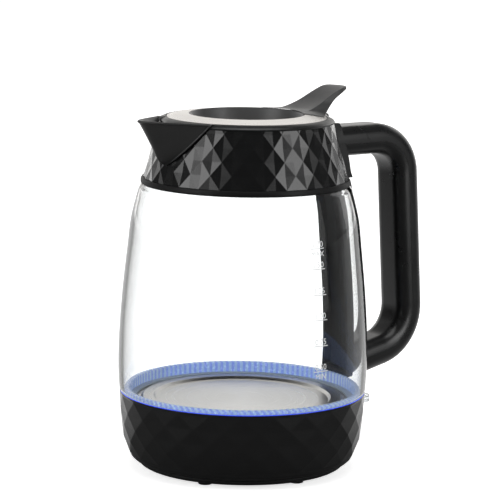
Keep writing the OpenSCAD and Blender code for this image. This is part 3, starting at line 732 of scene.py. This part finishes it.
def spout_beads():
    """The rolled upper lip of the spout, and the thin flange where its V meets the collar."""
    middle = Vector((-SPOUT_ROOT_R, 0, 0))
    lip = []
    for i in range(-LIP_STEPS, LIP_STEPS + 1):
        p = spout_lip_point(i / LIP_STEPS)
        inward = Vector((middle.x - p.x, -p.y, 0)).normalized()
        lip.append(p + inward * LIP_R * LIP_INWARD - Vector((0, 0, LIP_R * LIP_DOWN)))
    rises = [(i / FLANGE_STEPS) ** 1.5 for i in range(FLANGE_STEPS + 1)]
    flange = [spout_flange_point(r, -1) for r in rises[::-1]]
    flange += [spout_flange_point(r, 1) for r in rises[1:]]
    for name, path, radius in (("spout_lip", lip, LIP_R), ("spout_flange", flange, FLANGE_R)):
        points, faces = swept(path, radius, BEAD_SIDES, Vector((0, 0, 1)))
        link(name, points, faces, EXTRA_LOOKS["spout_satin"], "jug")


# ---- volume marks ----

MARK_AZIMUTH = math.radians(-90)
LABELS = ("0.50", "0.75", "1.00", "1.25", "1.50", "1.70")
DIGIT_SIZE = 5.0 * MM
DIGIT_THICK = 0.05 * MM
INK_LIFT = 0.06 * MM
LABEL_GAP = 0.9 * MM
# The words of the lowest and highest fill: how far under their lines, and their share of the size
WORD_DROP = 4.6 * MM
WORD_SIZE = 0.9
# Rings of the CAD glass within this radius are left out of its outer profile
GLASS_LEAST_R = 57 * MM


def mark_heights():
    """Heights of the printed lines, from the CAD node's own mesh."""
    heights = sorted({round(v.co.z, 4) for v in frame["nodes"]["volume_scale"].data.vertices})
    groups = [[heights[0]]]
    for z in heights[1:]:
        if z - groups[-1][-1] > 2 * MM:
            groups.append([])
        groups[-1].append(z)
    return [(g[0] + g[-1]) / 2 for g in groups]


def glass_profile():
    """[height, outer radius] up the glass, from the CAD node's rings of vertices."""
    rings = {}
    for v in frame["nodes"]["glass_body"].data.vertices:
        z = round(v.co.z, 5)
        rings[z] = max(rings.get(z, 0), math.hypot(v.co.x, v.co.y))
    return [(z, r) for z, r in sorted(rings.items()) if r > GLASS_LEAST_R]


def radius_at(profile, z):
    """The outer radius at a height, between the profile's rings."""
    for (z0, r0), (z1, r1) in zip(profile, profile[1:]):
        if z0 <= z <= z1:
            return r0 + (r1 - r0) * (z - z0) / max(z1 - z0, 1e-9)
    return profile[-1][1]


def label_mesh(text, size):
    """Points and faces of a line of text, centred on x, its foot on y = 0."""
    curve = bpy.data.curves.new("label", "FONT")
    curve.body = text
    curve.size = size
    curve.align_x = "CENTER"
    curve.extrude = DIGIT_THICK / 2
    curve.resolution_u = 3
    holder = bpy.data.objects.new("label", curve)
    bpy.context.scene.collection.objects.link(holder)
    bpy.context.view_layer.update()
    mesh = bpy.data.meshes.new_from_object(holder.evaluated_get(bpy.context.evaluated_depsgraph_get()))
    points = [tuple(v.co) for v in mesh.vertices]
    faces = [tuple(p.vertices) for p in mesh.polygons]
    bpy.data.objects.remove(holder)
    bpy.data.curves.remove(curve)
    return points, faces


def scale_numbers():
    """The numbers over the volume marks, bent round the glass."""
    profile = glass_profile()
    marks = mark_heights()
    points, faces = [], []
    rows = [(text, z + LABEL_GAP, DIGIT_SIZE) for text, z in zip(LABELS, marks)]
    rows += [(text, z - WORD_DROP, DIGIT_SIZE * WORD_SIZE)
             for text, z in (("MIN", marks[0]), ("MAX", marks[-1]))]
    for text, foot, size in rows:
        flat, drawn = label_mesh(text, size)
        start = len(points)
        for x, y, out in flat:
            z = foot + y
            radius = radius_at(profile, z) + INK_LIFT + DIGIT_THICK / 2 + out
            points.append(polar(radius, MARK_AZIMUTH + x / radius, z))
        faces += [tuple(start + i for i in face) for face in drawn]
    link("scale_numbers", points, faces, LOOKS["white_print"], "jug", smooth=False)


# ---- spring ----

SPRING_WIRE_R = 0.33 * MM
SPRING_TURNS = 3.6
SPRING_STEPS = 24
SPRING_LEG = 1.2 * MM
SPRING_SIDES = 8


def spring_piece():
    """The flap's torsion spring: a wound coil round its pin with a short leg."""
    low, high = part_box("flap_spring")
    centre = (low + high) / 2
    coil = (high.x - low.x) / 2 - SPRING_WIRE_R
    count = SPRING_TURNS * SPRING_STEPS
    path = []
    for i in range(int(count) + 1):
        angle = 2 * math.pi * i / SPRING_STEPS
        y = low.y + SPRING_WIRE_R + (high.y - low.y - 2 * SPRING_WIRE_R) * i / count
        path.append(Vector((centre.x + coil * math.cos(angle), y, centre.z + coil * math.sin(angle))))
    path.insert(0, path[0] - Vector((0, 0, SPRING_LEG)))
    points, faces = swept(path, SPRING_WIRE_R, SPRING_SIDES, Vector((0, 1, 0)))
    link("torsion_spring", points, faces, EXTRA_LOOKS["plated_steel"], "lid", ["flap_spring"])


# ---- screws, feet and filter gauze ----

def cross_radius(angle, reach, half):
    """Distance from the middle of a cross-shaped recess to its edge."""
    turn = abs((angle + math.pi / 4) % (math.pi / 2) - math.pi / 4)
    return min(reach / math.cos(turn), half / max(math.sin(turn), 1e-6))


SCREW_HEAD_H = 0.8 * MM
RECESS_DEPTH = 0.5 * MM
# Half length and half width of the cross recess, in shares of the head's radius
RECESS_REACH = 0.62
RECESS_HALF = 0.14
THREAD_ROWS = 8
THREAD_ROOT = 0.82


def screws_piece(name, node, body, head_r, shank_r, first):
    """Three pan-head screws, heads down, with a cross recess and a turned thread."""
    low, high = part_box(node)
    circle = max(math.hypot(v.co.x, v.co.y) for v in frame["nodes"][node].data.vertices) - head_r
    reach, half = head_r * RECESS_REACH, head_r * RECESS_HALF
    corner = math.atan2(half, reach)
    angles = sorted(quarter * math.pi / 2 + a for quarter in range(4)
                    for a in (-math.pi / 4, -corner * 2.2, -corner, 0, corner, corner * 2.2))
    floor, neck = low.z + RECESS_DEPTH, low.z + SCREW_HEAD_H
    rows = [[(TINY, floor)] * len(angles)]
    rows += [[(cross_radius(a, reach, half), z) for a in angles] for z in (floor, low.z)]
    turned = [(head_r * 0.8, low.z), (head_r, low.z + 0.35 * MM), (head_r, neck), (shank_r, neck)]
    for i in range(THREAD_ROWS):
        z = neck + (i + 0.5) * (high.z - low.z - SCREW_HEAD_H) / (THREAD_ROWS + 0.5)
        turned.append((shank_r * (1.0 if i % 2 else THREAD_ROOT), z))
    turned.append((0.1 * MM, high.z))
    rows += [[p] * len(angles) for p in turned]
    points, faces = [], []
    for k in range(3):
        middle = Vector(polar(circle, first + 2 * math.pi * k / 3, 0))
        faces += closed_skin(len(rows), len(angles), len(points), caps_turned=True)
        points += [middle + Vector(polar(radius, a, z)) for row in rows
                   for a, (radius, z) in zip(angles, row)]
    made = link(name, points, faces, EXTRA_LOOKS["plated_steel"], body, [node])
    modify(made, "EDGE_SPLIT", split_angle=math.radians(30))


# The feet; radii, heights and the depth of the treads' grooves in millimetres
FOOT_CIRCLE = 55 * MM
FOOT_COUNT = 6
FOOT_SIDES = 40
FOOT_R, FOOT_H, STEM_R = 4.2, 2.0, 2.0
GROOVE = 0.3
GROOVE_RADII = (0.7, 1.7, 2.7)


def feet_piece():
    """Six rubber feet with rounded edges and concentric treads under them."""
    low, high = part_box("rubber_feet")
    stem_top = (high.z - low.z) / MM
    profile = [(0.02, GROOVE)]
    for r in GROOVE_RADII:
        profile += [(r, GROOVE), (r + 0.12, 0), (r + 0.5, 0), (r + 0.62, GROOVE)]
    profile += [(3.55, GROOVE), (3.65, 0), (3.9, 0), (4.1, 0.1), (FOOT_R, 0.35), (FOOT_R, FOOT_H),
                (STEM_R, FOOT_H), (STEM_R, stem_top - 0.3), (STEM_R - 0.3, stem_top), (0.02, stem_top)]
    points, faces = [], []
    for k in range(FOOT_COUNT):
        middle = Vector(polar(FOOT_CIRCLE, math.radians(30 + 360 / FOOT_COUNT * k), 0))
        faces += closed_skin(len(profile), FOOT_SIDES, len(points), skin_turned=True)
        points += [middle + Vector(polar(r * MM, 2 * math.pi * i / FOOT_SIDES, low.z + z * MM))
                   for r, z in profile for i in range(FOOT_SIDES)]
    made = link("treaded_feet", points, faces, LOOKS["rubber"], "power_base", ["rubber_feet"])
    modify(made, "EDGE_SPLIT", split_angle=math.radians(40))


GAUZE_WIRE_R = 0.1 * MM
GAUZE_WAVE = 0.08 * MM
# How many spaces the wires cross along Y and along Z
GAUZE_COUNTS = {1: 30, 2: 15}


def gauze_piece():
    """The spout filter's woven steel wires, each square in section and waved over the others."""
    low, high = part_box("filter_mesh")
    middle = (low.x + high.x) / 2
    points, faces = [], []
    for along, across in ((1, 2), (2, 1)):
        steps = GAUZE_COUNTS[along] * 2
        for k in range(GAUZE_COUNTS[across]):
            share = (k + 0.5) / GAUZE_COUNTS[across]
            steady = low[across] + (high[across] - low[across]) * share
            faces += closed_skin(steps + 1, 4, len(points))
            for i in range(steps + 1):
                run = low[along] + (high[along] - low[along]) * i / steps
                over = (k + (i - 1) // 2) % 2 == along - 1
                x = middle + (0 if i % 2 == 0 else GAUZE_WAVE if over else -GAUZE_WAVE)
                for du, dv in ((1, 0), (0, 1), (-1, 0), (0, -1)):
                    p = [x + GAUZE_WIRE_R * du, 0, 0]
                    p[along] = run
                    p[across] = steady + GAUZE_WIRE_R * dv
                    points.append(p)
    link("filter_gauze", points, faces, EXTRA_LOOKS["plated_steel"], "jug", ["filter_mesh"])


# ---- floor ----

def make_floor():
    """A pale floor that is near white where it is seen, with a soft shadow under the kettle: cast by
    the lights, and deepened by a painted shadow of dimmer glow near the jug.
    """
    look = Look("floor", {"Specular IOR Level": 0.1, "Emission Color": (1, 1, 1, 1)})
    cloud = look.noise(3, 3)
    pale = look.ramp(cloud, (0.3, (0.80, 0.80, 0.80)), (0.7, (0.84, 0.84, 0.84)))
    dark = look.ramp(cloud, (0.3, (0.16, 0.16, 0.16)), (0.7, (0.18, 0.18, 0.18)))
    seen = seen_straight(look.tree)
    look.set("Base Color", look.add("ShaderNodeMix", {"Factor": seen, 6: dark, 7: pale}, 2,
                                    data_type="RGBA"))
    look.set("Roughness", look.spread(cloud, 0.75, 0.85))
    distance = look.add("ShaderNodeVectorMath", {0: look.place}, "Value", operation="LENGTH")
    # Painted shadow: the floor's glow is dimmer near the jug's axis.
    glow = look.add("ShaderNodeMapRange", {"Value": distance, "From Min": SHADOW_FROM,
                                           "From Max": SHADOW_TO, "To Min": GLOW_NEAR, "To Max": 1.0})
    back = towards_back(look.tree, look.place, FLOOR_BACK_FROM, 1.0)
    passed = look.add("ShaderNodeLightPath", output="Is Transmission Ray")
    direct = look.math("SUBTRACT", 1.0, look.math("MAXIMUM", seen, passed))
    mirrored = look.math("MULTIPLY", direct, look.math("MULTIPLY", back, FLOOR_BACK))
    look.set("Emission Strength", look.math("ADD", look.math("MULTIPLY", glow, seen), mirrored))
    points = [(0, 0, 0)] + [polar(FLOOR_RADIUS, 2 * math.pi * k / FLOOR_SIDES, 0)
                            for k in range(FLOOR_SIDES)]
    faces = [(0, 1 + k, 1 + (k + 1) % FLOOR_SIDES) for k in range(FLOOR_SIDES)]
    mesh = bpy.data.meshes.new("floor")
    mesh.from_pydata(points, [], faces)
    mesh.materials.append(look.material)
    floor = bpy.data.objects.new("floor", mesh)
    bpy.context.scene.collection.objects.link(floor)
    floor.location.z = -FLOOR_DROP


make_camera()
make_world()
for box in SOFT_BOXES:
    soft_box(*box)
make_floor()

slots = {s["node"]: s["material_slot"] for s in frame["record"]["subparts"]}
for node_name, cad_node in frame["nodes"].items():
    finish_node(node_name, cad_node, slots[node_name])

glass_piece()
light_ring_piece()
lever_piece()
spout_beads()
scale_numbers()
spring_piece()
screws_piece("crosshead_base_screws", "base_screws", "power_base", 2.8 * MM, 1.2 * MM,
             math.radians(30))
screws_piece("crosshead_cover_screws", "cover_screws", "jug", 3 * MM, 1.3 * MM,
             math.radians(90))
feet_piece()
gauze_piece()

bpy.context.scene.view_settings.view_transform = "Standard"
